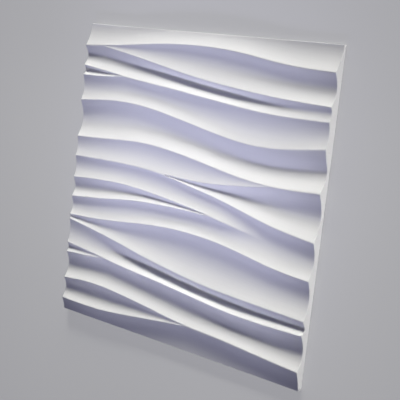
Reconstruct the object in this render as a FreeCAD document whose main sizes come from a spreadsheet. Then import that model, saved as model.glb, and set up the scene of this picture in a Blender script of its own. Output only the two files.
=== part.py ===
"""Cast wave panel: one square tile of white gypsum with long merging ridges on its front.

The panel lies on its flat back. The origin is the centre of the back, +X is to the right and +Y up as
the panel is hung, and +Z is out of the carved front. All sizes are in millimetres.

The front is a set of long hollows (troughs) between sharp crests (ridges). The ridges run from the left
edge to the right edge. Some of them meet: there the lower one closes up under the other one, and the
trough between the two ends in a point. Ridge nine sinks away instead, so that the troughs on both sides
of it open into one.
"""
import FreeCAD
import Part
import math
import os

doc = FreeCAD.newDocument("wave_panel")

# The sheet of sizes.
sizes = doc.addObject("Spreadsheet::Sheet", "Sizes")

MAIN_SIZES = (
    ("panel_width", 600.0, "left edge to right edge"),
    ("panel_height", 600.0, "lower edge to upper edge"),
    ("panel_thickness", 22.0, "flat back to the ridge crests"),
    ("crest_land", 0.6, "gap left between two ridges once they have met"),
    ("fade_start", 375.0, "ridge nine starts to sink, from the left edge"),
    ("fade_length", 130.0, "length over which ridge nine sinks"),
    ("joined_depth", 10.0, "depth of the one wide trough past the sunk ridge"),
)

# The troughs, from the upper edge to the lower one. Each group of three numbers is for the left edge, the
# middle and the right edge. Depths are below the crests. The root says how sharp the bottom is: 0 is a
# round cove and 1 a tight V. The place says how far down its width the trough is pulled deepest. The
# shoulder says how level it starts below its upper ridge: 0 falls straight to the bottom, 1 starts level.
MID = (0.5, 0.5, 0.5)
FLAT = (0.0, 0.0, 0.0)
TROUGHS = {
    1: ((12.5, 14.0, 16.0), (0.1, 0.2, 0.2), MID, FLAT),
    2: ((8.0, 8.6, 10.8), (0.1, 0.1, 0.1), (0.4, 0.42, 0.5), FLAT),
    3: ((9.5, 10.8, 4.0), (0.4, 0.9, 0.3), (0.5, 0.43, 0.4), (0.2, 0.45, 0.3)),
    4: ((7.0, 7.0, 7.0), (0.4, 0.4, 0.4), MID, FLAT),
    5: ((6.6, 7.8, 4.8), (0.1, 0.1, 0.1), MID, FLAT),
    6: ((11.6, 11.0, 13.8), (0.1, 0.4, 0.9), MID, (0.0, 0.2, 0.5)),
    7: ((3.8, 3.8, 3.8), (0.0, 0.0, 0.0), MID, FLAT),
    8: ((13.5, 18.5, 14.0), (0.8, 0.8, 0.4), MID, FLAT),
    9: ((5.2, 5.6, 4.5), (0.0, 0.0, 0.0), MID, FLAT),
    10: ((7.5, 7.5, 7.5), (0.2, 0.6, 0.6), MID, FLAT),
    11: ((5.8, 6.7, 4.5), (0.0, 0.0, 0.0), MID, FLAT),
    12: ((10.0, 10.0, 10.0), (0.6, 0.1, 0.1), MID, FLAT),
    13: ((4.8, 12.4, 7.8), (0.0, 0.9, 1.0), (0.52, 0.58, 0.53), (0.0, 0.5, 0.4)),
    14: ((5.0, 5.0, 5.0), (0.3, 0.3, 0.3), MID, FLAT),
    15: ((10.5, 11.2, 11.8), (0.1, 0.1, 0.1), MID, FLAT),
    16: ((8.3, 8.3, 8.3), (0.0, 0.1, 0.1), MID, FLAT),
    17: ((11.0, 12.0, 13.0), (0.1, 0.1, 0.1), MID, FLAT),
}
# A trough that ends in a point has the depths above at its full, open width. It grows shallower with a
# power of its width towards the point.
LEFT = "left"
RIGHT = "right"
POINTED_TROUGHS = {
    2: (RIGHT, 1.0),
    4: (LEFT, 1.5),
    7: (LEFT, 1.2),
    8: (RIGHT, 0.9),
    10: (LEFT, 0.7),
    12: (RIGHT, 0.7),
    14: (LEFT, 1.5),
    16: (LEFT, 1.1),
}

row = 1
for alias, value, note in MAIN_SIZES:
    sizes.set("A%d" % row, alias)
    sizes.set("B%d" % row, str(value))
    sizes.set("C%d" % row, note)
    sizes.setAlias("B%d" % row, alias)
    row += 1
for number, trough in TROUGHS.items():
    for spot, value in zip(("left", "middle", "right"), trough[0]):
        alias = "depth_%02d_%s" % (number, spot)
        sizes.set("A%d" % row, alias)
        sizes.set("B%d" % row, str(value))
        sizes.setAlias("B%d" % row, alias)
        row += 1
doc.recompute()


def size(alias):
    """Return the number that the sheet holds under this alias."""
    return float(sizes.get(alias))


width = size("panel_width")
height = size("panel_height")
crest = size("panel_thickness")
land = size("crest_land")

# The ridge lines, seen from the front: points (right, up) from the lower left corner.
# A curve through the points is carried on straight past its first and last point.
RIDGES = {
    1: ((0, 555.5), (90, 561), (190, 570.5), (310, 575), (410, 568.5), (490, 558), (600, 552.5)),
    2: ((60, 556), (130, 545.5), (230, 528.5), (310, 516), (410, 505), (500, 498.5), (600, 495)),
    3: ((0, 515.5), (60, 509), (130, 500.5), (210, 493.5), (300, 485), (390, 476), (470, 470), (600, 470)),
    4: ((0, 496), (50, 497), (115, 501.5)),
    5: ((0, 443.5), (100, 452), (180, 449), (270, 436), (360, 420.5), (450, 410.5), (520, 413.5),
        (600, 424.5)),
    6: ((0, 368.5), (90, 374), (170, 378.5), (250, 374.5), (330, 364), (410, 351.5), (480, 345),
        (600, 348.5)),
    7: ((190, 325), (255, 327), (330, 326), (400, 331), (450, 337), (500, 344)),
    8: ((0, 328), (110, 331), (190, 330), (250, 325), (310, 315.5), (370, 305.5), (430, 293), (500, 277),
        (600, 263.5)),
    9: ((0, 283.5), (110, 290.5), (190, 288.5), (270, 281), (350, 271), (460, 252)),
    10: ((0, 243), (90, 252.5), (170, 262.5), (250, 267), (310, 268.5), (350, 268)),
    11: ((0, 204.5), (90, 209.5), (170, 218), (240, 225), (310, 227.5), (380, 224), (450, 215),
         (520, 203.5), (600, 197)),
    12: ((0, 195), (50, 188), (130, 175), (210, 160), (290, 147.5), (370, 137.5), (450, 132.5), (600, 126)),
    13: ((0, 145), (90, 135.5), (150, 128.5), (250, 119.5), (350, 109.5), (430, 102), (500, 99.5),
         (600, 101)),
    14: ((0, 125), (60, 128), (115, 132.5)),
    15: ((0, 68.5), (80, 74.5), (150, 71.5), (230, 64), (310, 54.5), (370, 50.5), (430, 48), (510, 42),
         (600, 36)),
    16: ((0, 25.5), (70, 24.5), (130, 27), (190, 33), (250, 40.5), (330, 50)),
}
LAST = 17
# A branch ridge stays between the ridges above and below it.
BRANCHES = (2, 4, 7, 10, 14, 16)
# The sheet of waves is made a little larger than the panel, then cut off flush by its edges.
OVERRUN = 12.0
ABOVE = 40.0
BELOW = -60.0
PITCH = 10.0


def ridge_curve(points):
    """Return a curve through the points whose parameter is the distance to the right."""
    curve = Part.BSplineCurve()
    curve.interpolate(
        Points=[FreeCAD.Vector(x, y, 0) for x, y in points],
        Parameters=[float(x) for x, y in points],
    )
    return curve


def curve_height(curve, x):
    """Return how high the ridge runs at x, going on straight past both ends of its curve."""
    first = curve.FirstParameter
    last = curve.LastParameter
    held = min(max(x, first), last)
    point = curve.value(held)
    way = curve.tangent(held)[0]
    return point.y + (x - held) * way.y / way.x


curves = {number: ridge_curve(points) for number, points in RIDGES.items()}
top_line = max([height] + [y for x, y in RIDGES[1]]) + ABOVE


def ridge_heights(x):
    """Return the heights of all ridges at x, from the line above the panel to the line below it."""
    up = {0: top_line, LAST: BELOW}
    for number, curve in curves.items():
        up[number] = curve_height(curve, x)
    for number in BRANCHES:
        highest = up[number - 1] - land
        lowest = up[number + 1] + land
        up[number] = min(max(up[number], lowest), highest)
    return up


def smooth(share):
    """Return the share eased in and out between 0 and 1."""
    held = min(max(share, 0.0), 1.0)
    return held * held * (3.0 - 2.0 * held)


edge_heights = {LEFT: ridge_heights(0.0), RIGHT: ridge_heights(width)}


def between(left, middle, right, x):
    """Return a value at x that eases from the left edge to the middle and on to the right edge."""
    half = width / 2.0
    if x < half:
        return left + (middle - left) * smooth(x / half)
    return middle + (right - middle) * smooth((x - half) / half)


def trough_depth(number, x, up):
    """Return the depth of a trough at x."""
    depths = [size("depth_%02d_%s" % (number, spot)) for spot in ("left", "middle", "right")]
    depth = between(*depths, x)
    if number not in POINTED_TROUGHS:
        return depth
    side, power = POINTED_TROUGHS[number]
    ends = edge_heights[side]
    narrowed = (up[number - 1] - up[number]) / (ends[number - 1] - ends[number])
    return depth * math.pow(narrowed, power)


def section_poles(x):
    """Return the five poles of each trough's cross section at x, as lists of (up, out)."""
    up = ridge_heights(x)
    fade = smooth((x - size("fade_start")) / size("fade_length"))
    joined = size("joined_depth")
    span = up[8] - up[11]
    share = {number: (up[8] - up[number]) / span for number in (8, 9, 10, 11)}
    out = {number: crest for number in up}
    for number in (9, 10):
        out[number] = crest - fade * 4.0 * joined * share[number] * (1.0 - share[number])
    sections = {}
    for number in range(1, LAST + 1):
        y0, z0 = up[number - 1], out[number - 1]
        y4, z4 = up[number], out[number]
        depth = trough_depth(number, x, up)
        sharp, place, shoulder = [between(*values, x) for values in TROUGHS[number][1:]]
        if number in (9, 10, 11):
            sharp = sharp * (1.0 - fade)
        flank = 0.5 + 0.4 * sharp
        root = 2.0 / 3.0 + sharp / 3.0
        ym = (y0 + y4) / 2.0
        zm = (z0 + z4) / 2.0
        yc = y0 + place * (y4 - y0)
        zc = crest - 16.0 * depth / (4.0 * flank * (2.0 - shoulder) + 6.0 * root)
        if number in (9, 10, 11):
            first = share[number - 1]
            last = share[number]
            joined_zc = crest - 4.0 * joined * ((first + last) / 2.0 - first * last)
            zc = zc + fade * (joined_zc - zc)
        sections[number] = (
            (y0, z0),
            (y0 + flank * (yc - y0), z0 + (1.0 - shoulder) * flank * (zc - z0)),
            (ym + root * (yc - ym), zm + root * (zc - zm)),
            (y4 + flank * (yc - y4), z4 + flank * (zc - z4)),
            (y4, z4),
        )
    return sections


def clamped(count, degree):
    """Return the knots and multiplicities of an even curve that ends on its first and last pole."""
    spans = count - degree
    knots = [float(i) for i in range(spans + 1)]
    mults = [degree + 1] + [1] * (spans - 1) + [degree + 1]
    return knots, mults


# The wave sheet: one smooth strip for each trough, all joined along the ridges.
steps = int(math.ceil((width + 2.0 * OVERRUN) / PITCH))
places = [-OVERRUN + (width + 2.0 * OVERRUN) * i / steps for i in range(steps + 1)]
profiles = [section_poles(x) for x in places]
u_knots, u_mults = clamped(len(places), 3)


def place_point(x, y, z):
    """Return a point of the front as a point of the part, whose origin is the centre of the back."""
    return FreeCAD.Vector(x - width / 2.0, y - height / 2.0, z)


strips = []
for number in range(1, LAST + 1):
    poles = [[place_point(x, y, z) for y, z in profile[number]] for x, profile in zip(places, profiles)]
    surface = Part.BSplineSurface()
    surface.buildFromPolesMultsKnots(poles, u_mults, [5, 5], u_knots, [0.0, 1.0], False, False, 3, 4)
    strips.append(surface)

# The mould that shapes the front: the wave sheet closed by flat walls above it.
roof = crest + 10.0
walls = []
for end in (0, -1):
    x = places[end]
    u = u_knots[end]
    edges = [strip.uIso(u).toShape() for strip in strips]
    low = place_point(x, BELOW, crest)
    low_roof = place_point(x, BELOW, roof)
    high_roof = place_point(x, top_line, roof)
    high = place_point(x, top_line, crest)
    edges.append(Part.makeLine(low, low_roof))
    edges.append(Part.makeLine(low_roof, high_roof))
    edges.append(Part.makeLine(high_roof, high))
    walls.append(Part.Face(Part.Wire(edges)))
x0, x1 = places[0], places[-1]
for y in (BELOW, top_line):
    corners = [(x0, y, crest), (x1, y, crest), (x1, y, roof), (x0, y, roof), (x0, y, crest)]
    walls.append(Part.Face(Part.makePolygon([place_point(*corner) for corner in corners])))
corners = [(x0, BELOW), (x1, BELOW), (x1, top_line), (x0, top_line), (x0, BELOW)]
walls.append(Part.Face(Part.makePolygon([place_point(x, y, roof) for x, y in corners])))
shell = Part.makeShell([strip.toShape() for strip in strips] + walls)
shell.sewShape()
mould_solid = Part.Solid(shell)
if mould_solid.Volume < 0:
    mould_solid.reverse()
mould = doc.addObject("Part::Feature", "wave_mould")
mould.Shape = mould_solid

# The blank, poured a little proud of the crests, and the cast panel that the mould leaves of it.
blank = doc.addObject("Part::Box", "blank")
blank.setExpression("Length", "Sizes.panel_width")
blank.setExpression("Width", "Sizes.panel_height")
blank.setExpression("Height", "Sizes.panel_thickness + 3")
blank.setExpression("Placement.Base.x", "-Sizes.panel_width / 2")
blank.setExpression("Placement.Base.y", "-Sizes.panel_height / 2")
panel = doc.addObject("Part::Cut", "wave_panel")
panel.Base = blank
panel.Tool = mould
panel.Label = "wave_panel"
doc.recompute()

for item in doc.Objects:
    if "Invalid" in item.State or "Error" in item.State:
        raise RuntimeError("%s did not build: %s" % (item.Name, item.State))
shape = panel.Shape
if shape.isNull() or not shape.isValid() or len(shape.Solids) != 1:
    raise RuntimeError("the panel is not one valid solid")
box = shape.optimalBoundingBox(False)
print("mould valid", mould_solid.isValid(), "volume", round(mould_solid.Volume))
print("panel %.2f x %.2f x %.2f mm, %d faces" % (box.XLength, box.YLength, box.ZLength, len(shape.Faces)))
print("volume %.0f mm3, share of the blank %.3f" % (shape.Volume, shape.Volume / (width * height * crest)))
os.makedirs("parts", exist_ok=True)
shape.exportStep("parts/%s.step" % panel.Label)
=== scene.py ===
"""Dress the cast wave panel: a square gypsum tile with long merging ridges on its front.

The panel lies on its back, centred on the origin. +X is to its right and +Y to its upper edge as it is
hung, and +Z is out of the carved front. Lengths are in millimetres in the tables and in metres in Blender.
"""
import logging
import math
from dataclasses import dataclass, field
from enum import Enum
from typing import ClassVar

import bmesh
import bpy
import numpy as np
from mathutils import Matrix, Vector, noise


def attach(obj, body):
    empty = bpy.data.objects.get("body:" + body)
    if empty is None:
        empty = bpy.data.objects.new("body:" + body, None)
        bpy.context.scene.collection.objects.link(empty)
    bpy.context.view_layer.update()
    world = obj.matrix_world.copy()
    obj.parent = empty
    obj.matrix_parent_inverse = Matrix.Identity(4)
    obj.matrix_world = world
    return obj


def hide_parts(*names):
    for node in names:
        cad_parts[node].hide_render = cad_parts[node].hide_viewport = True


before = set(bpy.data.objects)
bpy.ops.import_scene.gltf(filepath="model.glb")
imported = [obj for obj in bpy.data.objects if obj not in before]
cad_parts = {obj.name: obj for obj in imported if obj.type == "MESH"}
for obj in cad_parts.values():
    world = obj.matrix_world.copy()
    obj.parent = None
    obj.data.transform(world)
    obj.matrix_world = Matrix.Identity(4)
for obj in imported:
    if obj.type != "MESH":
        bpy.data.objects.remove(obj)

LOG = logging.getLogger("wave_panel")
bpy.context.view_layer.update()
MM = 0.001

# How far the flanks and the root of a trough's section reach to its pull line: in a round cove, and how
# much further in a tight V.
FLANK_ROUND = 0.5
FLANK_TIGHT = 0.4
ROOT_ROUND = 2.0 / 3.0
ROOT_TIGHT = 1.0 / 3.0


class OpenSide(Enum):
    """The edge of the panel at which a pointed trough is open."""

    LEFT = 0
    RIGHT = 1


class Face(Enum):
    """The three kinds of surface that the cast has, in the order of the panel's material slots."""

    FRONT = 0
    EDGE = 1
    BACK = 2


class Ring(Enum):
    """The rings of points round the panel, from the front to the back."""

    ARRIS = 0
    BAND = 1
    FOOT = 2
    BACK = 3


def ease(share: np.ndarray) -> np.ndarray:
    """Ease a share in and out between 0 and 1.

    Args:
        share: values, held between 0 and 1 first.

    Returns:
        The eased values.
    """
    held = np.clip(share, 0.0, 1.0)
    return held * held * (3.0 - 2.0 * held)


@dataclass(frozen=True)
class RidgeLine:
    """One crest line, as points (right, up) in millimetres from the lower left corner.

    A branch meets a neighbour on its way and then runs on beside it.
    """

    points: tuple[tuple[float, float], ...]
    branch: bool = False

    def heights(self, across: np.ndarray) -> np.ndarray:
        """Follow a smooth line through the points, going on straight past both ends.

        Args:
            across: distances to the right.

        Returns:
            How high the ridge runs at each distance.
        """
        x, y = np.array(self.points, float).T
        gap = np.diff(x)
        rise = np.diff(y) / gap
        count = len(x)
        system = np.eye(count)
        right_side = np.zeros(count)
        for i in range(1, count - 1):
            system[i, i - 1:i + 2] = gap[i - 1], 2.0 * (gap[i - 1] + gap[i]), gap[i]
            right_side[i] = 6.0 * (rise[i] - rise[i - 1])
        bend = np.linalg.solve(system, right_side)
        first = rise[0] - gap[0] * bend[1] / 6.0
        last = rise[-1] + gap[-1] * bend[-2] / 6.0
        held = np.clip(across, x[0], x[-1])
        span = np.clip(np.searchsorted(x, held, side="right") - 1, 0, count - 2)
        before = held - x[span]
        after = x[span + 1] - held
        width = gap[span]
        curve = (
            bend[span] * after ** 3 / (6.0 * width)
            + bend[span + 1] * before ** 3 / (6.0 * width)
            + (y[span] / width - bend[span] * width / 6.0) * after
            + (y[span + 1] / width - bend[span + 1] * width / 6.0) * before
        )
        return curve + np.where(across < x[0], (across - x[0]) * first, 0.0) + np.where(
            across > x[-1], (across - x[-1]) * last, 0.0
        )


@dataclass(frozen=True)
class Trough:
    """One hollow between two ridges.

    A through trough has a depth at the left edge, in the middle and at the right edge. A pointed one has
    the depth of its open end three times over, and grows shallower with a power of its width.
    The roots say how sharp its bottom is at the same three places: 0 is a round cove, 1 a tight V.
    The places say how far down its width the bottom lies. The shoulders say how level the trough starts
    below its upper ridge: 0 is straight towards the bottom, 1 is level, like a roll over a crease.
    """

    depths: tuple[float, float, float]
    roots: tuple[float, float, float]
    places: tuple[float, float, float] = (0.5, 0.5, 0.5)
    shoulders: tuple[float, float, float] = (0.0, 0.0, 0.0)
    open_side: OpenSide | None = None
    power: float = 1.0


def pointed(depth: float, side: OpenSide, power: float, roots: tuple[float, float, float]) -> Trough:
    """Make a trough that ends in a point.

    Args:
        depth: depth at the open end.
        side: the edge where it is open.
        power: how fast it grows shallower with its width.
        roots: sharpness at the left, in the middle and at the right.

    Returns:
        The trough.
    """
    return Trough((depth, depth, depth), roots, open_side=side, power=power)


RIDGES: tuple[RidgeLine, ...] = (
    RidgeLine(((0, 555.5), (90, 561), (190, 570.5), (310, 575), (410, 568.5), (490, 558), (600, 552.5))),
    RidgeLine(((60, 556), (130, 545.5), (230, 528.5), (310, 516), (410, 505), (500, 498.5),
               (600, 495)), True),
    RidgeLine(((0, 515.5), (60, 509), (130, 500.5), (210, 493.5), (300, 485), (390, 476), (470, 470),
               (600, 470))),
    RidgeLine(((0, 496), (50, 497), (115, 501.5)), True),
    RidgeLine(((0, 443.5), (100, 452), (180, 449), (270, 436), (360, 420.5), (450, 410.5), (520, 413.5),
               (600, 424.5))),
    RidgeLine(((0, 368.5), (90, 374), (170, 378.5), (250, 374.5), (330, 364), (410, 351.5), (480, 345),
               (600, 348.5))),
    RidgeLine(((190, 325), (255, 327), (330, 326), (400, 331), (450, 337), (500, 344)), True),
    RidgeLine(((0, 328), (110, 331), (190, 330), (250, 325), (310, 315.5), (370, 305.5), (430, 293),
               (500, 277), (600, 263.5))),
    RidgeLine(((0, 283.5), (110, 290.5), (190, 288.5), (270, 281), (350, 271), (460, 252))),
    RidgeLine(((0, 243), (90, 252.5), (170, 262.5), (250, 267), (310, 268.5), (350, 268)), True),
    RidgeLine(((0, 204.5), (90, 209.5), (170, 218), (240, 225), (310, 227.5), (380, 224), (450, 215),
               (520, 203.5), (600, 197))),
    RidgeLine(((0, 195), (50, 188), (130, 175), (210, 160), (290, 147.5), (370, 137.5), (450, 132.5),
               (600, 126))),
    RidgeLine(((0, 145), (90, 135.5), (150, 128.5), (250, 119.5), (350, 109.5), (430, 102), (500, 99.5),
               (600, 101))),
    RidgeLine(((0, 125), (60, 128), (115, 132.5)), True),
    RidgeLine(((0, 68.5), (80, 74.5), (150, 71.5), (230, 64), (310, 54.5), (370, 50.5), (430, 48),
               (510, 42), (600, 36))),
    RidgeLine(((0, 25.5), (70, 24.5), (130, 27), (190, 33), (250, 40.5), (330, 50)), True),
)

TROUGHS: tuple[Trough, ...] = (
    Trough((12.5, 14.0, 16.0), (0.1, 0.2, 0.2)),
    Trough((8.0, 8.6, 10.8), (0.1, 0.1, 0.1), (0.4, 0.42, 0.5), open_side=OpenSide.RIGHT),
    Trough((9.5, 10.8, 4.0), (0.4, 0.9, 0.3), (0.5, 0.43, 0.4), (0.2, 0.45, 0.3)),
    pointed(7.0, OpenSide.LEFT, 1.5, (0.4, 0.4, 0.4)),
    Trough((6.6, 7.8, 4.8), (0.1, 0.1, 0.1)),
    Trough((11.6, 11.0, 13.8), (0.1, 0.4, 0.9), shoulders=(0.0, 0.2, 0.5)),
    pointed(3.8, OpenSide.LEFT, 1.2, (0.0, 0.0, 0.0)),
    Trough((13.5, 18.5, 14.0), (0.8, 0.8, 0.4), open_side=OpenSide.RIGHT, power=0.9),
    Trough((5.2, 5.6, 4.5), (0.0, 0.0, 0.0)),
    pointed(7.5, OpenSide.LEFT, 0.7, (0.2, 0.6, 0.6)),
    Trough((5.8, 6.7, 4.5), (0.0, 0.0, 0.0)),
    pointed(10.0, OpenSide.RIGHT, 0.7, (0.6, 0.1, 0.1)),
    Trough((4.8, 12.4, 7.8), (0.0, 0.9, 1.0), (0.52, 0.58, 0.53), (0.0, 0.5, 0.4)),
    pointed(5.0, OpenSide.LEFT, 1.5, (0.3, 0.3, 0.3)),
    Trough((10.5, 11.2, 11.8), (0.1, 0.1, 0.1)),
    pointed(8.3, OpenSide.LEFT, 1.1, (0.0, 0.1, 0.1)),
    Trough((11.0, 12.0, 13.0), (0.1, 0.1, 0.1)),
)


@dataclass
class WavePattern:
    """The drawn wave pattern: where the ridges run and how the troughs between them are pulled down."""

    width: float = 600.0
    height: float = 600.0
    crest: float = 22.0
    land: float = 0.6
    above: float = 640.0
    below: float = -60.0
    fade_start: float = 375.0
    fade_length: float = 130.0
    joined_depth: float = 10.0
    ridges: tuple[RidgeLine, ...] = RIDGES
    troughs: tuple[Trough, ...] = TROUGHS
    sunk: tuple[int, int] = (9, 10)

    def ridge_heights(self, across: np.ndarray) -> np.ndarray:
        """Work out all ridge heights, from the line above the panel to the line below it.

        Args:
            across: distances from the left edge.

        Returns:
            One row for each ridge, one column for each distance.
        """
        rows = [np.full_like(across, self.above)]
        rows += [ridge.heights(across) for ridge in self.ridges]
        rows.append(np.full_like(across, self.below))
        up = np.array(rows)
        for number, ridge in enumerate(self.ridges, start=1):
            if ridge.branch:
                raised = np.maximum(up[number], up[number + 1] + self.land)
                up[number] = np.minimum(raised, up[number - 1] - self.land)
        return up

    def along(self, values: tuple[float, float, float], across: np.ndarray) -> np.ndarray:
        """Ease three values from the left edge to the middle and on to the right edge.

        Args:
            values: at the left edge, in the middle and at the right edge.
            across: distances from the left edge.

        Returns:
            The value at each distance.
        """
        half = self.width / 2.0
        left, middle, right = values
        near = left + (middle - left) * ease(across / half)
        far = middle + (right - middle) * ease((across - half) / half)
        return np.where(across < half, near, far)

    def lines(self, across: np.ndarray) -> tuple[np.ndarray, np.ndarray, np.ndarray, np.ndarray]:
        """Work out the ridge lines and the pull lines that draw the troughs down.

        Args:
            across: distances from the left edge.

        Returns:
            Ridge points, pull points, root sharpness and shoulder: arrays of line by column.
        """
        up = self.ridge_heights(across)
        ends = self.ridge_heights(np.array([0.0, self.width]))
        fade = ease((across - self.fade_start) / self.fade_length)
        first, last = self.sunk
        span = up[first - 1] - up[last + 1]
        share = {n: (up[first - 1] - up[n]) / span for n in range(first - 1, last + 2)}
        out = np.full_like(up, self.crest)
        for n in self.sunk:
            out[n] -= fade * 4.0 * self.joined_depth * share[n] * (1.0 - share[n])
        pull_up = np.empty_like(up[1:])
        pull_out = np.empty_like(pull_up)
        sharp = np.empty_like(pull_up)
        shoulder = np.empty_like(pull_up)
        for k, trough in enumerate(self.troughs):
            pull_up[k] = up[k] + (up[k + 1] - up[k]) * self.along(trough.places, across)
            shoulder[k] = self.along(trough.shoulders, across)
            depth = self.along(trough.depths, across)
            if trough.open_side is not None:
                side = trough.open_side.value
                depth = depth * ((up[k] - up[k + 1]) / (ends[k, side] - ends[k + 1, side])) ** trough.power
            sharp[k] = self.along(trough.roots, across)
            joins = first - 1 <= k <= last
            if joins:
                sharp[k] *= 1.0 - fade
            flank = FLANK_ROUND + FLANK_TIGHT * sharp[k]
            root = ROOT_ROUND + ROOT_TIGHT * sharp[k]
            # In the middle of the section its five points count 1, 4, 6, 4 and 1 sixteenths.
            pull_out[k] = self.crest - 16.0 * depth / (4.0 * flank * (2.0 - shoulder[k]) + 6.0 * root)
            if joins:
                a, b = share[k], share[k + 1]
                joined = self.crest - 4.0 * self.joined_depth * ((a + b) / 2.0 - a * b)
                pull_out[k] += fade * (joined - pull_out[k])
        return self.place(across, up, out), self.place(across, pull_up, pull_out), sharp, shoulder

    def place(self, across: np.ndarray, up: np.ndarray, out: np.ndarray) -> np.ndarray:
        """Turn pattern places into points of the part, in metres, line after line."""
        right = np.broadcast_to(across - self.width / 2.0, up.shape)
        return np.stack([right, up - self.height / 2.0, out], axis=-1) * MM


class TreeBuilder:
    """Short ways to add nodes to a node tree."""

    def __init__(self, tree: bpy.types.NodeTree) -> None:
        """Keep the tree that the nodes go into."""
        self.tree = tree

    def node(self, kind: str, **settings: object) -> bpy.types.Node:
        """Add a node.

        Args:
            kind: the node's type name.
            settings: properties to set on it.

        Returns:
            The new node.
        """
        made = self.tree.nodes.new(kind)
        for name, value in settings.items():
            setattr(made, name, value)
        return made

    def feed(self, socket: bpy.types.NodeSocket, value: object) -> None:
        """Link another socket into this one, or set it to a plain value.

        Args:
            socket: the input to feed.
            value: a socket, or what a plain value is set to.
        """
        if isinstance(value, bpy.types.NodeSocket):
            self.tree.links.new(value, socket)
        else:
            socket.default_value = value

    def math(self, operation: str, *values: object) -> bpy.types.NodeSocket:
        """Add a Math node.

        Args:
            operation: what it does.
            values: its inputs, sockets or numbers.

        Returns:
            Its result.
        """
        made = self.node("ShaderNodeMath", operation=operation)
        for socket, value in zip(made.inputs, values):
            self.feed(socket, value)
        return made.outputs[0]

    def mix(self, kind: str, factor: object, a: object, b: object) -> bpy.types.NodeSocket:
        """Add a Mix node.

        Args:
            kind: FLOAT, VECTOR or RGBA.
            factor: share of b.
            a: first input.
            b: second input.

        Returns:
            Its result.
        """
        place = {"FLOAT": (2, 3, 0), "VECTOR": (4, 5, 1), "RGBA": (6, 7, 2)}[kind]
        made = self.node("ShaderNodeMix", data_type=kind)
        self.feed(made.inputs[0], factor)
        self.feed(made.inputs[place[0]], a)
        self.feed(made.inputs[place[1]], b)
        return made.outputs[place[2]]

    def noise(self, where: object, scale: object, detail: float, roughness: float) -> bpy.types.NodeSocket:
        """Add a Noise Texture node.

        Args:
            where: its coordinates.
            scale: its scale.
            detail: number of finer layers.
            roughness: strength of the finer layers.

        Returns:
            Its value, about 0.5.
        """
        made = self.node("ShaderNodeTexNoise")
        self.feed(made.inputs["Vector"], where)
        self.feed(made.inputs["Scale"], scale)
        self.feed(made.inputs["Detail"], detail)
        self.feed(made.inputs["Roughness"], roughness)
        return made.outputs["Fac"]

    def ramp(self, value: object, low: float, high: float, to_low: float,
             to_high: float) -> bpy.types.NodeSocket:
        """Add a smooth Map Range node.

        Args:
            value: its input.
            low: input that gives to_low.
            high: input that gives to_high.
            to_low: result at low.
            to_high: result at high.

        Returns:
            Its result.
        """
        made = self.node("ShaderNodeMapRange", interpolation_type="SMOOTHSTEP")
        for socket, given in zip(made.inputs, (value, low, high, to_low, to_high)):
            self.feed(socket, given)
        return made.outputs[0]


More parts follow.
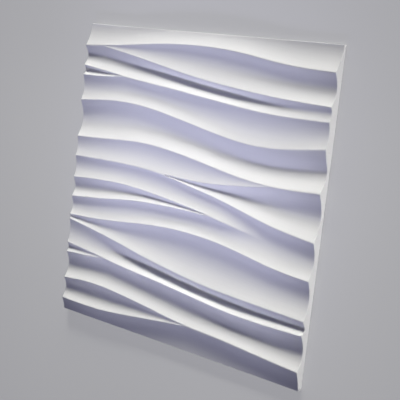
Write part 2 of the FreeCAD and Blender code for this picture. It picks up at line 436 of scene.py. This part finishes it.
class WaveFrontTree:
    """The node tree that stretches a smooth skin over the ridges and pulls it down between them."""

    NAME = "wave_front"
    CREST_ATTRIBUTE = "crest_near"
    WAY_ATTRIBUTE = "wave_way"
    SHARP_ATTRIBUTE = "root_sharpness"
    SHOULDER_ATTRIBUTE = "shoulder"
    CREST_CROWDING = 0.7
    CREST_REACH = 0.004
    MEAN_TROUGH_WIDTH = 0.035

    def __init__(self) -> None:
        """Build the tree once."""
        self.tree = bpy.data.node_groups.new(self.NAME, "GeometryNodeTree")
        self.tree.is_modifier = True
        self.keys: dict[str, str] = {}
        for name, kind in (
            ("Ridges", "NodeSocketObject"),
            ("Pulls", "NodeSocketObject"),
            ("Columns", "NodeSocketInt"),
            ("Troughs", "NodeSocketInt"),
            ("Rows in a Trough", "NodeSocketInt"),
            ("Crest Crowding", "NodeSocketFloat"),
            ("Crest Reach", "NodeSocketFloat"),
            ("Mean Trough Width", "NodeSocketFloat"),
            ("Material", "NodeSocketMaterial"),
        ):
            socket = self.tree.interface.new_socket(name, in_out="INPUT", socket_type=kind)
            self.keys[name] = socket.identifier
        self.tree.interface.new_socket("Geometry", in_out="OUTPUT", socket_type="NodeSocketGeometry")
        self.build()

    @staticmethod
    def line_point(b: TreeBuilder, lines: bpy.types.NodeSocket, index: bpy.types.NodeSocket,
                   kind: str, value: bpy.types.NodeSocket) -> bpy.types.NodeSocket:
        """Read a value at one point of a set of lines.

        Args:
            b: the tree's builder.
            lines: geometry of the lines.
            index: number of the point.
            kind: FLOAT_VECTOR or FLOAT.
            value: what to read there.

        Returns:
            The value.
        """
        node = b.node("GeometryNodeSampleIndex", data_type=kind, domain="POINT")
        b.feed(node.inputs["Geometry"], lines)
        b.feed(node.inputs["Value"], value)
        b.feed(node.inputs["Index"], index)
        return node.outputs["Value"]

    def build(self) -> None:
        """Add the nodes: a flat grid, its rows shared out over the troughs and moved onto the skin."""
        b = TreeBuilder(self.tree)
        given = b.node("NodeGroupInput").outputs
        rows = b.math("ADD", b.math("MULTIPLY", given["Troughs"], given["Rows in a Trough"]), 1.0)
        grid = b.node("GeometryNodeMeshGrid")
        b.feed(grid.inputs["Vertices X"], given["Columns"])
        b.feed(grid.inputs["Vertices Y"], rows)

        # Half a step goes on before each floor, so that rounding can't put a point in the wrong row.
        index = b.node("GeometryNodeInputIndex").outputs[0]
        column = b.math("FLOOR", b.math("DIVIDE", b.math("ADD", index, 0.5), rows))
        row = b.math("SUBTRACT", index, b.math("MULTIPLY", column, rows))
        trough = b.math("FLOOR", b.math("DIVIDE", b.math("ADD", row, 0.5), given["Rows in a Trough"]))
        trough = b.math("MINIMUM", trough, b.math("SUBTRACT", given["Troughs"], 1.0))
        step = b.math("SUBTRACT", row, b.math("MULTIPLY", trough, given["Rows in a Trough"]))
        even = b.math("DIVIDE", step, given["Rows in a Trough"])
        wave = b.math("SINE", b.math("MULTIPLY", even, 2.0 * math.pi))
        crowd = b.math("DIVIDE", given["Crest Crowding"], 2.0 * math.pi)
        share = b.math("SUBTRACT", even, b.math("MULTIPLY", wave, crowd))

        ridges = b.node("GeometryNodeObjectInfo", transform_space="ORIGINAL")
        b.feed(ridges.inputs["Object"], given["Ridges"])
        pulls = b.node("GeometryNodeObjectInfo", transform_space="ORIGINAL")
        b.feed(pulls.inputs["Object"], given["Pulls"])
        position = b.node("GeometryNodeInputPosition").outputs[0]
        sharpness = b.node("GeometryNodeInputNamedAttribute", data_type="FLOAT")
        b.feed(sharpness.inputs["Name"], self.SHARP_ATTRIBUTE)
        level = b.node("GeometryNodeInputNamedAttribute", data_type="FLOAT")
        b.feed(level.inputs["Name"], self.SHOULDER_ATTRIBUTE)
        upper_index = b.math("ADD", b.math("MULTIPLY", trough, given["Columns"]), column)
        lower_index = b.math("ADD", upper_index, given["Columns"])
        ridge_lines = ridges.outputs["Geometry"]
        pull_lines = pulls.outputs["Geometry"]
        upper = self.line_point(b, ridge_lines, upper_index, "FLOAT_VECTOR", position)
        lower = self.line_point(b, ridge_lines, lower_index, "FLOAT_VECTOR", position)
        pull = self.line_point(b, pull_lines, upper_index, "FLOAT_VECTOR", position)
        sharp = self.line_point(b, pull_lines, upper_index, "FLOAT", sharpness.outputs["Attribute"])
        shoulder = self.line_point(b, pull_lines, upper_index, "FLOAT", level.outputs["Attribute"])

        flank = b.math("MULTIPLY_ADD", sharp, FLANK_TIGHT, FLANK_ROUND)
        root = b.math("MULTIPLY_ADD", sharp, ROOT_TIGHT, ROOT_ROUND)
        middle = b.mix("VECTOR", 0.5, upper, lower)
        start = b.mix("VECTOR", flank, upper, pull)
        in_plan = b.node("ShaderNodeVectorMath", operation="MULTIPLY")
        b.feed(in_plan.inputs[0], start)
        b.feed(in_plan.inputs[1], (1.0, 1.0, 0.0))
        at_crest = b.node("ShaderNodeVectorMath", operation="MULTIPLY_ADD")
        b.feed(at_crest.inputs[0], upper)
        b.feed(at_crest.inputs[1], (0.0, 0.0, 1.0))
        b.feed(at_crest.inputs[2], in_plan.outputs[0])
        points = [
            upper,
            b.mix("VECTOR", shoulder, start, at_crest.outputs[0]),
            b.mix("VECTOR", root, middle, pull),
            b.mix("VECTOR", flank, lower, pull),
            lower,
        ]
        while len(points) > 1:
            points = [b.mix("VECTOR", share, a, c) for a, c in zip(points[:-1], points[1:])]

        moved = b.node("GeometryNodeSetPosition")
        b.feed(moved.inputs["Geometry"], grid.outputs["Mesh"])
        b.feed(moved.inputs["Position"], points[0])
        to_upper = b.node("ShaderNodeVectorMath", operation="DISTANCE")
        b.feed(to_upper.inputs[0], points[0])
        b.feed(to_upper.inputs[1], upper)
        to_lower = b.node("ShaderNodeVectorMath", operation="DISTANCE")
        b.feed(to_lower.inputs[0], points[0])
        b.feed(to_lower.inputs[1], lower)
        near = b.math("MINIMUM", to_upper.outputs["Value"], to_lower.outputs["Value"])
        crest = b.math("SUBTRACT", 1.0, b.math("DIVIDE", near, given["Crest Reach"]))
        store = b.node("GeometryNodeStoreNamedAttribute", data_type="FLOAT", domain="POINT")
        b.feed(store.inputs["Geometry"], moved.outputs["Geometry"])
        b.feed(store.inputs["Name"], self.CREST_ATTRIBUTE)
        b.feed(store.inputs["Value"], b.math("MAXIMUM", crest, 0.0))
        apart = b.node("ShaderNodeSeparateXYZ")
        b.feed(apart.inputs[0], points[0])
        way = b.node("ShaderNodeCombineXYZ")
        b.feed(way.inputs["X"], apart.outputs["X"])
        b.feed(way.inputs["Y"], b.math("MULTIPLY", b.math("ADD", trough, share), given["Mean Trough Width"]))
        stroke = b.node("GeometryNodeStoreNamedAttribute", data_type="FLOAT_VECTOR", domain="POINT")
        b.feed(stroke.inputs["Geometry"], store.outputs["Geometry"])
        b.feed(stroke.inputs["Name"], self.WAY_ATTRIBUTE)
        b.feed(stroke.inputs["Value"], way.outputs[0])
        real = b.node("GeometryNodeRealizeInstances")
        b.feed(real.inputs["Geometry"], stroke.outputs["Geometry"])
        painted = b.node("GeometryNodeSetMaterial")
        b.feed(painted.inputs["Geometry"], real.outputs["Geometry"])
        b.feed(painted.inputs["Material"], given["Material"])
        b.feed(b.node("NodeGroupOutput").inputs["Geometry"], painted.outputs["Geometry"])

    def stretch(self, ridges: np.ndarray, pulls: np.ndarray, sharp: np.ndarray, shoulder: np.ndarray,
                rows: int, material: bpy.types.Material) -> bpy.types.Mesh:
        """Run the tree over a set of lines.

        Args:
            ridges: ridge points, line by column.
            pulls: pull points, line by column.
            sharp: root sharpness, line by column.
            shoulder: how level each trough starts, line by column.
            rows: rows of faces in each trough.
            material: the front's material.

        Returns:
            The open skin as a plain mesh.
        """
        helpers = []
        for name, points in (("ridge_points", ridges), ("pull_points", pulls)):
            mesh = bpy.data.meshes.new(name)
            mesh.from_pydata(points.reshape(-1, 3).tolist(), [], [])
            helpers.append(bpy.data.objects.new(name, mesh))
            bpy.context.scene.collection.objects.link(helpers[-1])
        for name, values in ((self.SHARP_ATTRIBUTE, sharp), (self.SHOULDER_ATTRIBUTE, shoulder)):
            stored = helpers[1].data.attributes.new(name, "FLOAT", "POINT")
            stored.data.foreach_set("value", values.reshape(-1).astype(np.float32))
        host = bpy.data.objects.new("skin", bpy.data.meshes.new("skin"))
        bpy.context.scene.collection.objects.link(host)
        modifier = host.modifiers.new(self.NAME, "NODES")
        modifier.node_group = self.tree
        for name, value in (
            ("Ridges", helpers[0]),
            ("Pulls", helpers[1]),
            ("Columns", ridges.shape[1]),
            ("Troughs", pulls.shape[0]),
            ("Rows in a Trough", rows),
            ("Crest Crowding", self.CREST_CROWDING),
            ("Crest Reach", self.CREST_REACH),
            ("Mean Trough Width", self.MEAN_TROUGH_WIDTH),
            ("Material", material),
        ):
            modifier[self.keys[name]] = value
        graph = bpy.context.evaluated_depsgraph_get()
        stretched = host.evaluated_get(graph)
        mesh = bpy.data.meshes.new_from_object(stretched, preserve_all_data_layers=True, depsgraph=graph)
        host.modifiers.remove(modifier)
        for helper in (host, *helpers):
            bpy.data.objects.remove(helper)
        return mesh


class GypsumGrain:
    """The shader node group for cast gypsum: cloudy tone, fine grain and small air holes."""

    CLOUD_LAYERS = 4.0
    CLOUD_FINENESS = 0.55
    GRAIN_LAYERS = 3.0
    GRAIN_FINENESS = 0.6
    GRAIN_HEIGHT = 0.25
    HOLE_FLOOR = 0.06
    HOLE_RIM = 0.15

    def __init__(self) -> None:
        """Build the group once."""
        self.tree = bpy.data.node_groups.new("gypsum_grain", "ShaderNodeTree")
        for name, kind, value in (
            ("Coordinates", "NodeSocketVector", None),
            ("Cloud Scale", "NodeSocketFloat", 9.0),
            ("Cloud Strength", "NodeSocketFloat", 0.02),
            ("Grain Scale", "NodeSocketFloat", 900.0),
            ("Hole Scale", "NodeSocketFloat", 250.0),
            ("Hole Share", "NodeSocketFloat", 0.02),
        ):
            socket = self.tree.interface.new_socket(name, in_out="INPUT", socket_type=kind)
            if value is not None:
                socket.default_value = value
        for name in ("Tone", "Grain", "Holes", "Height"):
            self.tree.interface.new_socket(name, in_out="OUTPUT", socket_type="NodeSocketFloat")
        self.build()

    def build(self) -> None:
        """Add the nodes."""
        b = TreeBuilder(self.tree)
        given = b.node("NodeGroupInput").outputs
        where = given["Coordinates"]
        cloud = b.noise(where, given["Cloud Scale"], self.CLOUD_LAYERS, self.CLOUD_FINENESS)
        swing = b.math("MULTIPLY", b.math("SUBTRACT", cloud, 0.5), 2.0)
        tone = b.math("ADD", 1.0, b.math("MULTIPLY", swing, given["Cloud Strength"]))
        grain = b.noise(where, given["Grain Scale"], self.GRAIN_LAYERS, self.GRAIN_FINENESS)

        cells = b.node("ShaderNodeTexVoronoi", feature="F1")
        b.feed(cells.inputs["Vector"], where)
        b.feed(cells.inputs["Scale"], given["Hole Scale"])
        pick = b.node("ShaderNodeTexWhiteNoise", noise_dimensions="3D")
        b.feed(pick.inputs["Vector"], cells.outputs["Position"])
        chosen = b.math("LESS_THAN", pick.outputs["Value"], given["Hole Share"])
        round_hole = b.ramp(cells.outputs["Distance"], self.HOLE_FLOOR, self.HOLE_RIM, 1.0, 0.0)
        holes = b.math("MULTIPLY", chosen, round_hole)

        height = b.math("SUBTRACT", b.math("MULTIPLY", grain, self.GRAIN_HEIGHT), holes)
        result = b.node("NodeGroupOutput").inputs
        b.feed(result["Tone"], tone)
        b.feed(result["Grain"], grain)
        b.feed(result["Holes"], holes)
        b.feed(result["Height"], height)


class RubbedEdge:
    """The shader node group for edges that have been handled: an uneven rub and small chips along them."""

    RUB_SCALE = 45.0
    RUB_SPAN = (0.35, 0.65)
    LEAST_RUB = 0.2
    LAYERS = 2.0
    FINENESS = 0.5
    FALL_OFF = 0.5
    CHIP_SLOPE = 0.05

    def __init__(self) -> None:
        """Build the group once."""
        self.tree = bpy.data.node_groups.new("rubbed_edge", "ShaderNodeTree")
        for name, kind, value in (
            ("Coordinates", "NodeSocketVector", None),
            ("Nearness", "NodeSocketFloat", 0.0),
            ("Chip Scale", "NodeSocketFloat", 300.0),
            ("Chip Level", "NodeSocketFloat", 0.7),
        ):
            socket = self.tree.interface.new_socket(name, in_out="INPUT", socket_type=kind)
            if value is not None:
                socket.default_value = value
        for name in ("Rub", "Chips"):
            self.tree.interface.new_socket(name, in_out="OUTPUT", socket_type="NodeSocketFloat")
        self.build()

    def build(self) -> None:
        """Add the nodes."""
        b = TreeBuilder(self.tree)
        given = b.node("NodeGroupInput").outputs
        where = given["Coordinates"]
        patches = b.noise(where, self.RUB_SCALE, self.LAYERS, self.FINENESS)
        rub = b.math("MULTIPLY", given["Nearness"], b.ramp(patches, *self.RUB_SPAN, self.LEAST_RUB, 1.0))
        inside = b.math("MULTIPLY", b.math("SUBTRACT", 1.0, given["Nearness"]), self.FALL_OFF)
        crumbs = b.noise(where, given["Chip Scale"], self.LAYERS, self.FINENESS)
        level = b.math("SUBTRACT", crumbs, inside)
        over = b.math("SUBTRACT", level, given["Chip Level"])
        result = b.node("NodeGroupOutput").inputs
        b.feed(result["Rub"], rub)
        b.feed(result["Chips"], b.ramp(over, 0.0, self.CHIP_SLOPE, 0.0, 1.0))


@dataclass(frozen=True)
class GypsumFinish:
    """One surface of the white gypsum cast.

    The marks are the strokes that finished it, as how many cross a metre in each direction. Scales are
    counted in a metre too, tones and roughnesses are shares, and depths are parts of the bump. The hole tone
    is painted shade in the air holes, and the mark tone is painted shade and light across the strokes.
    """

    name: str
    colour: tuple[float, float, float]
    roughness: float
    cloud_strength: float
    cloud_scale: float
    grain_scale: float
    hole_scale: float
    hole_share: float
    bump: float
    chip_level: float
    marks: tuple[float, float, float]
    mark_depth: float
    marks_follow_waves: bool = False
    crest_polish: float = 0.0
    crest_share: float = 0.9
    # Painted shade: how dark the air holes are coloured, standing in for the shade inside them.
    hole_shade_tone: float = 0.72
    # Painted shade and light: how much darker the low parts of the strokes are coloured, and how much
    # lighter the high parts are.
    mark_shade_tone: float = 0.01
    mark_span: tuple[float, float] = (0.25, 0.75)
    mark_roughness: float = 0.04
    mark_layers: float = 3.0
    mark_fineness: float = 0.6
    grain_span: tuple[float, float] = (0.3, 0.7)
    grain_roughness: float = 0.05
    chip_roughness: float = 0.12
    chip_depth: float = 1.4
    gloss: float = 0.35

    def material(self, grain: GypsumGrain, edge: RubbedEdge) -> bpy.types.Material:
        """Make the material.

        Args:
            grain: the shared gypsum node group.
            edge: the shared node group for handled edges.

        Returns:
            The finished material.
        """
        made = bpy.data.materials.new(self.name)
        made.use_nodes = True
        made.node_tree.nodes.clear()
        b = TreeBuilder(made.node_tree)
        where = b.node("ShaderNodeTexCoord").outputs["Object"]
        cast = b.node("ShaderNodeGroup", node_tree=grain.tree)
        for name, value in (
            ("Coordinates", where),
            ("Cloud Scale", self.cloud_scale),
            ("Cloud Strength", self.cloud_strength),
            ("Grain Scale", self.grain_scale),
            ("Hole Scale", self.hole_scale),
            ("Hole Share", self.hole_share),
        ):
            b.feed(cast.inputs[name], value)
        near = b.node("ShaderNodeAttribute", attribute_name=CastPanel.ARRIS_ATTRIBUTE).outputs["Fac"]
        if self.crest_polish:
            crest = b.node("ShaderNodeAttribute", attribute_name=WaveFrontTree.CREST_ATTRIBUTE)
            near = b.math("MAXIMUM", near, b.math("MULTIPLY", crest.outputs["Fac"], self.crest_share))
        rubbed = b.node("ShaderNodeGroup", node_tree=edge.tree)
        for name, value in (("Coordinates", where), ("Nearness", near), ("Chip Level", self.chip_level)):
            b.feed(rubbed.inputs[name], value)
        mark = self.strokes(b, where)

        # Painted shade: the air holes are darkened in colour, as if shade fell inside them.
        shade_in_holes = b.ramp(cast.outputs["Holes"], 0.0, 1.0, 1.0, self.hole_shade_tone)
        # Painted shade and light: the tone follows the strokes' height, darker in their low parts and
        # lighter on their high parts.
        shade_on_marks = b.ramp(mark, *self.mark_span, 1.0 - self.mark_shade_tone, 1.0 + self.mark_shade_tone)
        # The gypsum's own cloudy tone, times the painted shade of the holes and the painted shade and light
        # of the strokes.
        tone = b.math("MULTIPLY", b.math("MULTIPLY", cast.outputs["Tone"], shade_in_holes), shade_on_marks)
        smooth, coarse = self.roughness - self.grain_roughness, self.roughness + self.grain_roughness
        rough = b.ramp(cast.outputs["Grain"], *self.grain_span, smooth, coarse)
        dragged = b.ramp(mark, *self.mark_span, -self.mark_roughness, self.mark_roughness)
        rough = b.math("ADD", rough, dragged)
        rough = b.math("ADD", rough, b.math("MULTIPLY", rubbed.outputs["Chips"], self.chip_roughness))
        rough = b.math("SUBTRACT", rough, b.math("MULTIPLY", rubbed.outputs["Rub"], self.crest_polish))
        height = b.math("ADD", cast.outputs["Height"], b.math("MULTIPLY", mark, self.mark_depth))
        height = b.math("SUBTRACT", height, b.math("MULTIPLY", rubbed.outputs["Chips"], self.chip_depth))

        shift = b.node("ShaderNodeHueSaturation")
        b.feed(shift.inputs["Color"], (*self.colour, 1.0))
        b.feed(shift.inputs["Value"], tone)
        bump = b.node("ShaderNodeBump")
        b.feed(bump.inputs["Strength"], 1.0)
        b.feed(bump.inputs["Distance"], self.bump)
        b.feed(bump.inputs["Height"], height)
        shader = b.node("ShaderNodeBsdfPrincipled")
        b.feed(shader.inputs["Base Color"], shift.outputs["Color"])
        b.feed(shader.inputs["Roughness"], rough)
        b.feed(shader.inputs["Specular IOR Level"], self.gloss)
        b.feed(shader.inputs["Normal"], bump.outputs["Normal"])
        b.feed(b.node("ShaderNodeOutputMaterial").inputs["Surface"], shader.outputs["BSDF"])
        return made

    def strokes(self, b: TreeBuilder, where: bpy.types.NodeSocket) -> bpy.types.NodeSocket:
        """Add the long strokes of the tool that finished the surface.

        Args:
            b: the material's builder.
            where: place on the panel.

        Returns:
            A value about 0.5 that goes up and down across the strokes.
        """
        if self.marks_follow_waves:
            way = b.node("ShaderNodeAttribute", attribute_name=WaveFrontTree.WAY_ATTRIBUTE)
            where = way.outputs["Vector"]
        drawn_out = b.node("ShaderNodeVectorMath", operation="MULTIPLY")
        b.feed(drawn_out.inputs[0], where)
        b.feed(drawn_out.inputs[1], self.marks)
        return b.noise(drawn_out.outputs[0], 1.0, self.mark_layers, self.mark_fineness)


FINISHES: dict[Face, GypsumFinish] = {
    Face.FRONT: GypsumFinish(
        "gypsum_front",
        colour=(0.86, 0.86, 0.85),
        roughness=0.55,
        cloud_strength=0.018,
        cloud_scale=7.0,
        grain_scale=1100.0,
        hole_scale=260.0,
        hole_share=0.012,
        bump=0.00015,
        chip_level=0.74,
        marks=(16.0, 900.0, 1.0),
        mark_depth=0.3,
        marks_follow_waves=True,
        crest_polish=0.1,
    ),
    Face.EDGE: GypsumFinish(
        "gypsum_edge",
        colour=(0.84, 0.84, 0.83),
        roughness=0.7,
        cloud_strength=0.03,
        cloud_scale=14.0,
        grain_scale=900.0,
        hole_scale=190.0,
        hole_share=0.08,
        bump=0.0003,
        chip_level=0.66,
        marks=(280.0, 280.0, 16.0),
        mark_depth=0.5,
    ),
    Face.BACK: GypsumFinish(
        "gypsum_back",
        colour=(0.82, 0.82, 0.80),
        roughness=0.8,
        cloud_strength=0.05,
        cloud_scale=6.0,
        grain_scale=700.0,
        hole_scale=140.0,
        hole_share=0.2,
        bump=0.0004,
        chip_level=0.7,
        marks=(5.0, 18.0, 1.0),
        mark_depth=2.4,
    ),
}


@dataclass
class CastPanel:
    """The whole tile: carved front, four straight edges with slightly blunted arrises, and flat back.

    The arris is uneven: its swing is a share of its size, and its waves are counted in a metre.
    """

    ARRIS_ATTRIBUTE: ClassVar[str] = "arris_near"
    CUT_SLACK: ClassVar[float] = 1e-7
    pattern: WavePattern = field(default_factory=WavePattern)
    columns: int = 301
    rows: int = 16
    arris: float = 0.6
    arris_reach: float = 1.6
    arris_swing: float = 0.7
    arris_waves: float = 110.0
    chip_band: float = 1.5

    def front(self, tree: WaveFrontTree, material: bpy.types.Material) -> bpy.types.Mesh:
        """Stretch the carved front, a blunted arris short of the edges at both sides.

        Args:
            tree: the wave tree.
            material: the front's material.

        Returns:
            The open skin, which still runs past the upper and lower edges.
        """
        across = np.linspace(self.arris, self.pattern.width - self.arris, self.columns)
        return tree.stretch(*self.pattern.lines(across), self.rows, material)

    def close(self, mesh: bpy.types.Mesh) -> None:
        """Cut the skin off flush at the upper and lower edges, and add the arrises, the edges and the back.

        Args:
            mesh: the open skin, which becomes the closed panel.
        """
        half_y = self.pattern.height * MM / 2.0
        cut = self.arris * MM
        bm = bmesh.new()
        bm.from_mesh(mesh)
        near = bm.verts.layers.float.new(self.ARRIS_ATTRIBUTE)
        for way in (1.0, -1.0):
            bmesh.ops.bisect_plane(
                bm,
                geom=bm.verts[:] + bm.edges[:] + bm.faces[:],
                dist=self.CUT_SLACK,
                plane_co=(0.0, way * (half_y - cut), 0.0),
                plane_no=(0.0, way, 0.0),
                clear_outer=True,
            )
        rim = [edge for edge in bm.edges if edge.is_boundary]
        for edge in rim:
            edge.smooth = False
            for vert in edge.verts:
                vert[near] = 1.0
        for ring in Ring:
            made = bmesh.ops.extrude_edge_only(bm, edges=rim)["geom"]
            for vert in (item for item in made if isinstance(item, bmesh.types.BMVert)):
                self.place_rim(vert.co, ring)
                vert[near] = 0.0 if ring is Ring.BAND else 1.0
            for face in (item for item in made if isinstance(item, bmesh.types.BMFace)):
                face.material_index = Face.EDGE.value
            rim = [item for item in made if isinstance(item, bmesh.types.BMEdge) and item.is_boundary]
            for edge in rim:
                edge.smooth = ring is Ring.BAND
        back = bmesh.ops.contextual_create(bm, geom=rim)["faces"]
        for face in back:
            face.material_index = Face.BACK.value
        bmesh.ops.recalc_face_normals(bm, faces=bm.faces[:])
        for face in bm.faces:
            face.smooth = True
        bm.to_mesh(mesh)
        bm.free()

    def place_rim(self, point: Vector, ring: Ring) -> None:
        """Move a new rim point to its ring.

        Args:
            point: the point, changed in place.
            ring: which ring it goes to.
        """
        half_x = self.pattern.width * MM / 2.0
        half_y = self.pattern.height * MM / 2.0
        cut = self.arris * MM
        on_side = abs(point.x) > half_x - self.arris_reach * cut
        on_end = abs(point.y) > half_y - self.arris_reach * cut
        inset = cut if ring is Ring.BACK else 0.0
        if on_side:
            point.x = math.copysign(half_x - inset, point.x)
        if on_end:
            point.y = math.copysign(half_y - inset, point.y)
        if ring is Ring.ARRIS:
            point.z -= cut * (1.0 + self.arris_swing * noise.noise(point * self.arris_waves))
        elif ring is Ring.BAND:
            point.z -= self.chip_band * MM
        else:
            point.z = cut if ring is Ring.FOOT else 0.0

    def build(self) -> bpy.types.Object:
        """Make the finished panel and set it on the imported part.

        Returns:
            The panel's object.
        """
        grain = GypsumGrain()
        edge = RubbedEdge()
        materials = [FINISHES[face].material(grain, edge) for face in Face]
        mesh = self.front(WaveFrontTree(), materials[Face.FRONT.value])
        mesh.materials.clear()
        for material in materials:
            mesh.materials.append(material)
        self.close(mesh)
        mesh.name = "cast_wave_panel"
        panel = bpy.data.objects.new("cast_wave_panel", mesh)
        bpy.context.scene.collection.objects.link(panel)
        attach(panel, "root")
        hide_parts("wave_panel")
        return panel


@dataclass(frozen=True)
class SoftLamp:
    """A rectangular soft box that points at a place on the panel.

    A spread under 180 degrees is a grid in front of it, which keeps its light off the rest of the floor.
    """

    name: str
    place: tuple[float, float, float]
    aim: tuple[float, float, float]
    size: tuple[float, float]
    power: float
    colour: tuple[float, float, float]
    spread: float = 180.0

    def build(self) -> bpy.types.Object:
        """Hang the lamp.

        Returns:
            The lamp's object.
        """
        data = bpy.data.lights.new(self.name, "AREA")
        data.shape = "RECTANGLE"
        data.size, data.size_y = self.size
        data.spread = math.radians(self.spread)
        data.energy = self.power
        data.color = self.colour
        lamp = bpy.data.objects.new(self.name, data)
        lamp.location = self.place
        lamp.rotation_euler = (Vector(self.aim) - Vector(self.place)).to_track_quat("-Z", "Y").to_euler()
        lamp.visible_camera = False
        bpy.context.scene.collection.objects.link(lamp)
        return lamp


LAMPS: tuple[SoftLamp, ...] = (
    SoftLamp(
        "top_strip",
        place=(-0.14, 1.25, 0.32),
        aim=(-0.11, 0.3, 0.0),
        size=(1.2, 0.25),
        power=3.2,
        colour=(1.0, 0.992, 0.95),
        spread=100.0,
    ),
    SoftLamp(
        "top_strip_low_aim",
        place=(-0.08, 1.3, 0.5),
        aim=(-0.06, -0.2, 0.0),
        size=(1.2, 0.15),
        power=0.83,
        colour=(1.0, 0.992, 0.91),
        spread=20.0,
    ),
    SoftLamp(
        "under_strip",
        place=(0.0, -1.35, 0.56),
        aim=(0.0, 0.1, 0.0),
        size=(0.6, 0.14),
        power=0.32,
        colour=(0.73, 0.735, 1.0),
        spread=15.0,
    ),
    SoftLamp(
        "front_box",
        place=(-0.05, 0.12, 0.45),
        aim=(-0.03, 0.12, 0.0),
        size=(0.25, 0.25),
        power=0.35,
        colour=(0.71, 0.715, 1.0),
    ),
    SoftLamp(
        "right_box",
        place=(2.0, 0.0, 0.09),
        aim=(0.3, 0.0, 0.01),
        size=(1.2, 0.12),
        power=2.3,
        colour=(1.0, 0.992, 0.97),
        spread=60.0,
    ),
)


@dataclass
class Studio:
    """Floor, light and camera around the panel.

    The backdrop's share is how much of the floor's look is its even colour. The far level makes the
    backdrop as bright as the far floor. The eye, the two directions and the lens are the camera's.
    """

    SENSOR_WIDTH: ClassVar[float] = 36.0
    FARTHEST: ClassVar[float] = 50.0
    floor_colour: tuple[float, float, float] = (0.62, 0.62, 0.64)
    floor_roughness: float = 0.75
    floor_gloss: float = 0.2
    floor_reach: float = 8.0
    floor_drop: float = 0.0002
    backdrop_colour: tuple[float, float, float] = (0.52, 0.52, 0.54)
    backdrop_share: float = 0.6
    far_level: float = 0.628
    sky_colour: tuple[float, float, float] = (0.4, 0.39, 1.0)
    sky_strength: float = 0.045
    eye: tuple[float, float, float] = (1.1428, 0.2367, 1.3830)
    ahead: tuple[float, float, float] = (-0.62228, -0.13748, -0.77063)
    upward: tuple[float, float, float] = (-0.17363, 0.98418, -0.03538)
    lens: float = 85.64

    @staticmethod
    def looked_at(b: TreeBuilder) -> bpy.types.NodeSocket:
        """Tell the rays that look at the room, straight or by gloss or glass, from those that light it.

        Args:
            b: the material's or the world's builder.

        Returns:
            1 for a ray that looks and 0 for a ray that lights.
        """
        rays = b.node("ShaderNodeLightPath").outputs
        mirrored = b.math("MAXIMUM", rays["Is Glossy Ray"], rays["Is Transmission Ray"])
        return b.math("MAXIMUM", rays["Is Camera Ray"], mirrored)

    def floor_finish(self) -> bpy.types.Material:
        """Make the floor's material, which looks paler than the light it throws back.

        Returns:
            The material.
        """
        made = bpy.data.materials.new("pale_floor")
        made.use_nodes = True
        made.node_tree.nodes.clear()
        b = TreeBuilder(made.node_tree)
        lit = b.node("ShaderNodeBsdfPrincipled")
        b.feed(lit.inputs["Base Color"], (*self.floor_colour, 1.0))
        b.feed(lit.inputs["Roughness"], self.floor_roughness)
        b.feed(lit.inputs["Specular IOR Level"], self.floor_gloss)
        even = b.node("ShaderNodeEmission")
        b.feed(even.inputs["Color"], (*self.backdrop_colour, 1.0))
        mixed = b.node("ShaderNodeMixShader")
        b.feed(mixed.inputs[0], b.math("MULTIPLY", self.looked_at(b), self.backdrop_share))
        b.feed(mixed.inputs[1], lit.outputs[0])
        b.feed(mixed.inputs[2], even.outputs[0])
        b.feed(b.node("ShaderNodeOutputMaterial").inputs["Surface"], mixed.outputs[0])
        return made

    def floor(self) -> bpy.types.Object:
        """Lay the pale floor under the panel.

        Returns:
            The floor's object.
        """
        mesh = bpy.data.meshes.new("pale_floor")
        turns = ((-1, -1), (1, -1), (1, 1), (-1, 1))
        corners = [(x * self.floor_reach, y * self.floor_reach, -self.floor_drop) for x, y in turns]
        mesh.from_pydata(corners, [], [(0, 1, 2, 3)])
        mesh.materials.append(self.floor_finish())
        floor = bpy.data.objects.new("pale_floor", mesh)
        bpy.context.scene.collection.objects.link(floor)
        return floor

    def sky(self) -> None:
        """Give the room its faint, cool light and a backdrop as pale as the far floor."""
        world = bpy.data.worlds.new("room")
        world.use_nodes = True
        world.node_tree.nodes.clear()
        b = TreeBuilder(world.node_tree)
        faint = b.node("ShaderNodeBackground")
        b.feed(faint.inputs["Color"], (*self.sky_colour, 1.0))
        b.feed(faint.inputs["Strength"], self.sky_strength)
        pale = b.node("ShaderNodeBackground")
        b.feed(pale.inputs["Color"], (*self.backdrop_colour, 1.0))
        b.feed(pale.inputs["Strength"], self.far_level)
        mixed = b.node("ShaderNodeMixShader")
        b.feed(mixed.inputs[0], self.looked_at(b))
        b.feed(mixed.inputs[1], faint.outputs[0])
        b.feed(mixed.inputs[2], pale.outputs[0])
        b.feed(b.node("ShaderNodeOutputWorld").inputs["Surface"], mixed.outputs[0])
        bpy.context.scene.world = world

    def camera(self) -> bpy.types.Object:
        """Place the camera where the photograph was taken from.

        Returns:
            The camera's object.
        """
        data = bpy.data.cameras.new("camera")
        data.sensor_fit = "HORIZONTAL"
        data.sensor_width = self.SENSOR_WIDTH
        data.lens = self.lens
        data.clip_end = self.FARTHEST
        back = -Vector(self.ahead).normalized()
        right = Vector(self.upward).cross(back).normalized()
        up = back.cross(right)
        camera = bpy.data.objects.new("camera", data)
        turn = Matrix((right, up, back)).transposed().to_4x4()
        camera.matrix_world = Matrix.Translation(self.eye) @ turn
        bpy.context.scene.collection.objects.link(camera)
        bpy.context.scene.camera = camera
        return camera

    def build(self) -> None:
        """Set up floor, light, camera and plain colour handling."""
        self.floor()
        self.sky()
        for lamp in LAMPS:
            lamp.build()
        self.camera()
        bpy.context.scene.view_settings.view_transform = "Standard"


def main() -> None:
    """Build the panel and its studio, and report each piece."""
    logging.basicConfig(level=logging.INFO, format="%(name)s: %(message)s")
    panel = CastPanel().build()
    LOG.info("%s: %d faces", panel.name, len(panel.data.polygons))
    Studio().build()


if __name__ == "__main__":
    main()
